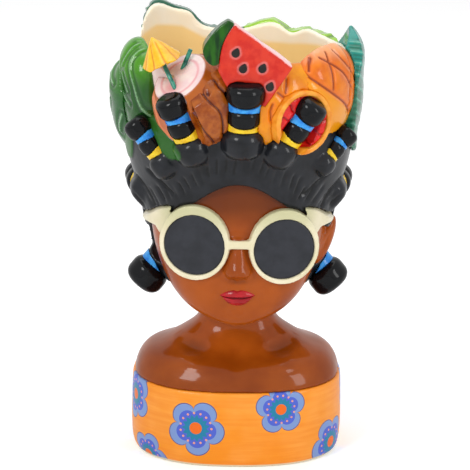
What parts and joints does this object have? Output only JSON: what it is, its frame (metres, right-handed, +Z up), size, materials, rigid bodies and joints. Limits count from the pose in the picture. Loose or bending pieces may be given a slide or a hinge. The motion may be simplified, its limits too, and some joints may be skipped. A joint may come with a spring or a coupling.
{
  "type": "face vase",
  "caption": "Hollow glazed ceramic bust vase with round sunglasses, beaded braids and a fruit headdress round an open mouth.",
  "frame": {"origin": "centre of the flat foot, on the surface that the vase stands on", "axes": "+Z up, the face looks along -Y, +X is the viewer's right"},
  "size_m": [0.1498, 0.1461, 0.2765],
  "materials": {
    "blue_glaze": "gloss",
    "cream_glaze": "gloss",
    "dress_glaze": "satin",
    "frame_glaze": "gloss",
    "hair_glaze": "gloss",
    "husk_glaze": "gloss",
    "leaf_glaze": "gloss",
    "lens_glaze": "gloss",
    "lip_glaze": "gloss",
    "orange_glaze": "gloss",
    "pink_glaze": "gloss",
    "red_glaze": "gloss",
    "seed_glaze": "gloss",
    "skin_glaze": "gloss",
    "teal_glaze": "gloss",
    "yellow_glaze": "gloss"
  },
  "bodies": {
    "root": {"back_left_leaf": "leaf_glaze", "back_right_leaf": "leaf_glaze", "centre_braid_blue_tie": "blue_glaze", "centre_braid_middle_bead": "hair_glaze", "centre_braid_tip_bead": "hair_glaze", "centre_braid_yellow_tie": "yellow_glaze", "coconut_flesh": "pink_glaze", "coconut_husk": "husk_glaze", "dress_base": "dress_glaze", "drinking_straw": "teal_glaze", "far_left_braid_blue_tie": "blue_glaze", "far_left_braid_middle_bead": "hair_glaze", "far_left_braid_tip_bead": "hair_glaze", "far_left_braid_yellow_tie": "yellow_glaze", "far_right_braid_blue_tie": "blue_glaze", "far_right_braid_middle_bead": "hair_glaze", "far_right_braid_tip_bead": "hair_glaze", "far_right_braid_yellow_tie": "yellow_glaze", "grapefruit_flesh": "red_glaze", "grapefruit_rind": "orange_glaze", "hair": "hair_glaze", "head": "skin_glaze", "left_braid_blue_tie": "blue_glaze", "left_braid_middle_bead": "hair_glaze", "left_braid_tip_bead": "hair_glaze", "left_braid_yellow_tie": "yellow_glaze", "left_front_leaf": "leaf_glaze", "left_lens": "lens_glaze", "left_outer_leaf": "leaf_glaze", "left_pigtail_ball": "hair_glaze", "left_pigtail_blue_tie": "blue_glaze", "left_side_braid_middle_bead": "hair_glaze", "left_side_braid_tip_bead": "hair_glaze", "left_side_braid_yellow_tie": "yellow_glaze", "lips": "lip_glaze", "mango": "orange_glaze", "melon_flesh": "red_glaze", "melon_rind": "leaf_glaze", "melon_seeds": "seed_glaze", "pineapple": "orange_glaze", "planter_wall": "cream_glaze", "right_braid_blue_tie": "blue_glaze", "right_braid_middle_bead": "hair_glaze", "right_braid_tip_bead": "hair_glaze", "right_braid_yellow_tie": "yellow_glaze", "right_leaf": "teal_glaze", "right_lens": "lens_glaze", "right_pigtail_ball": "hair_glaze", "right_pigtail_blue_tie": "blue_glaze", "right_side_braid_middle_bead": "hair_glaze", "right_side_braid_tip_bead": "hair_glaze", "right_side_braid_yellow_tie": "yellow_glaze", "shoulders": "skin_glaze", "sunglasses_frame": "frame_glaze", "umbrella": "yellow_glaze", "umbrella_stick": "teal_glaze"}
  },
  "joints": []
}
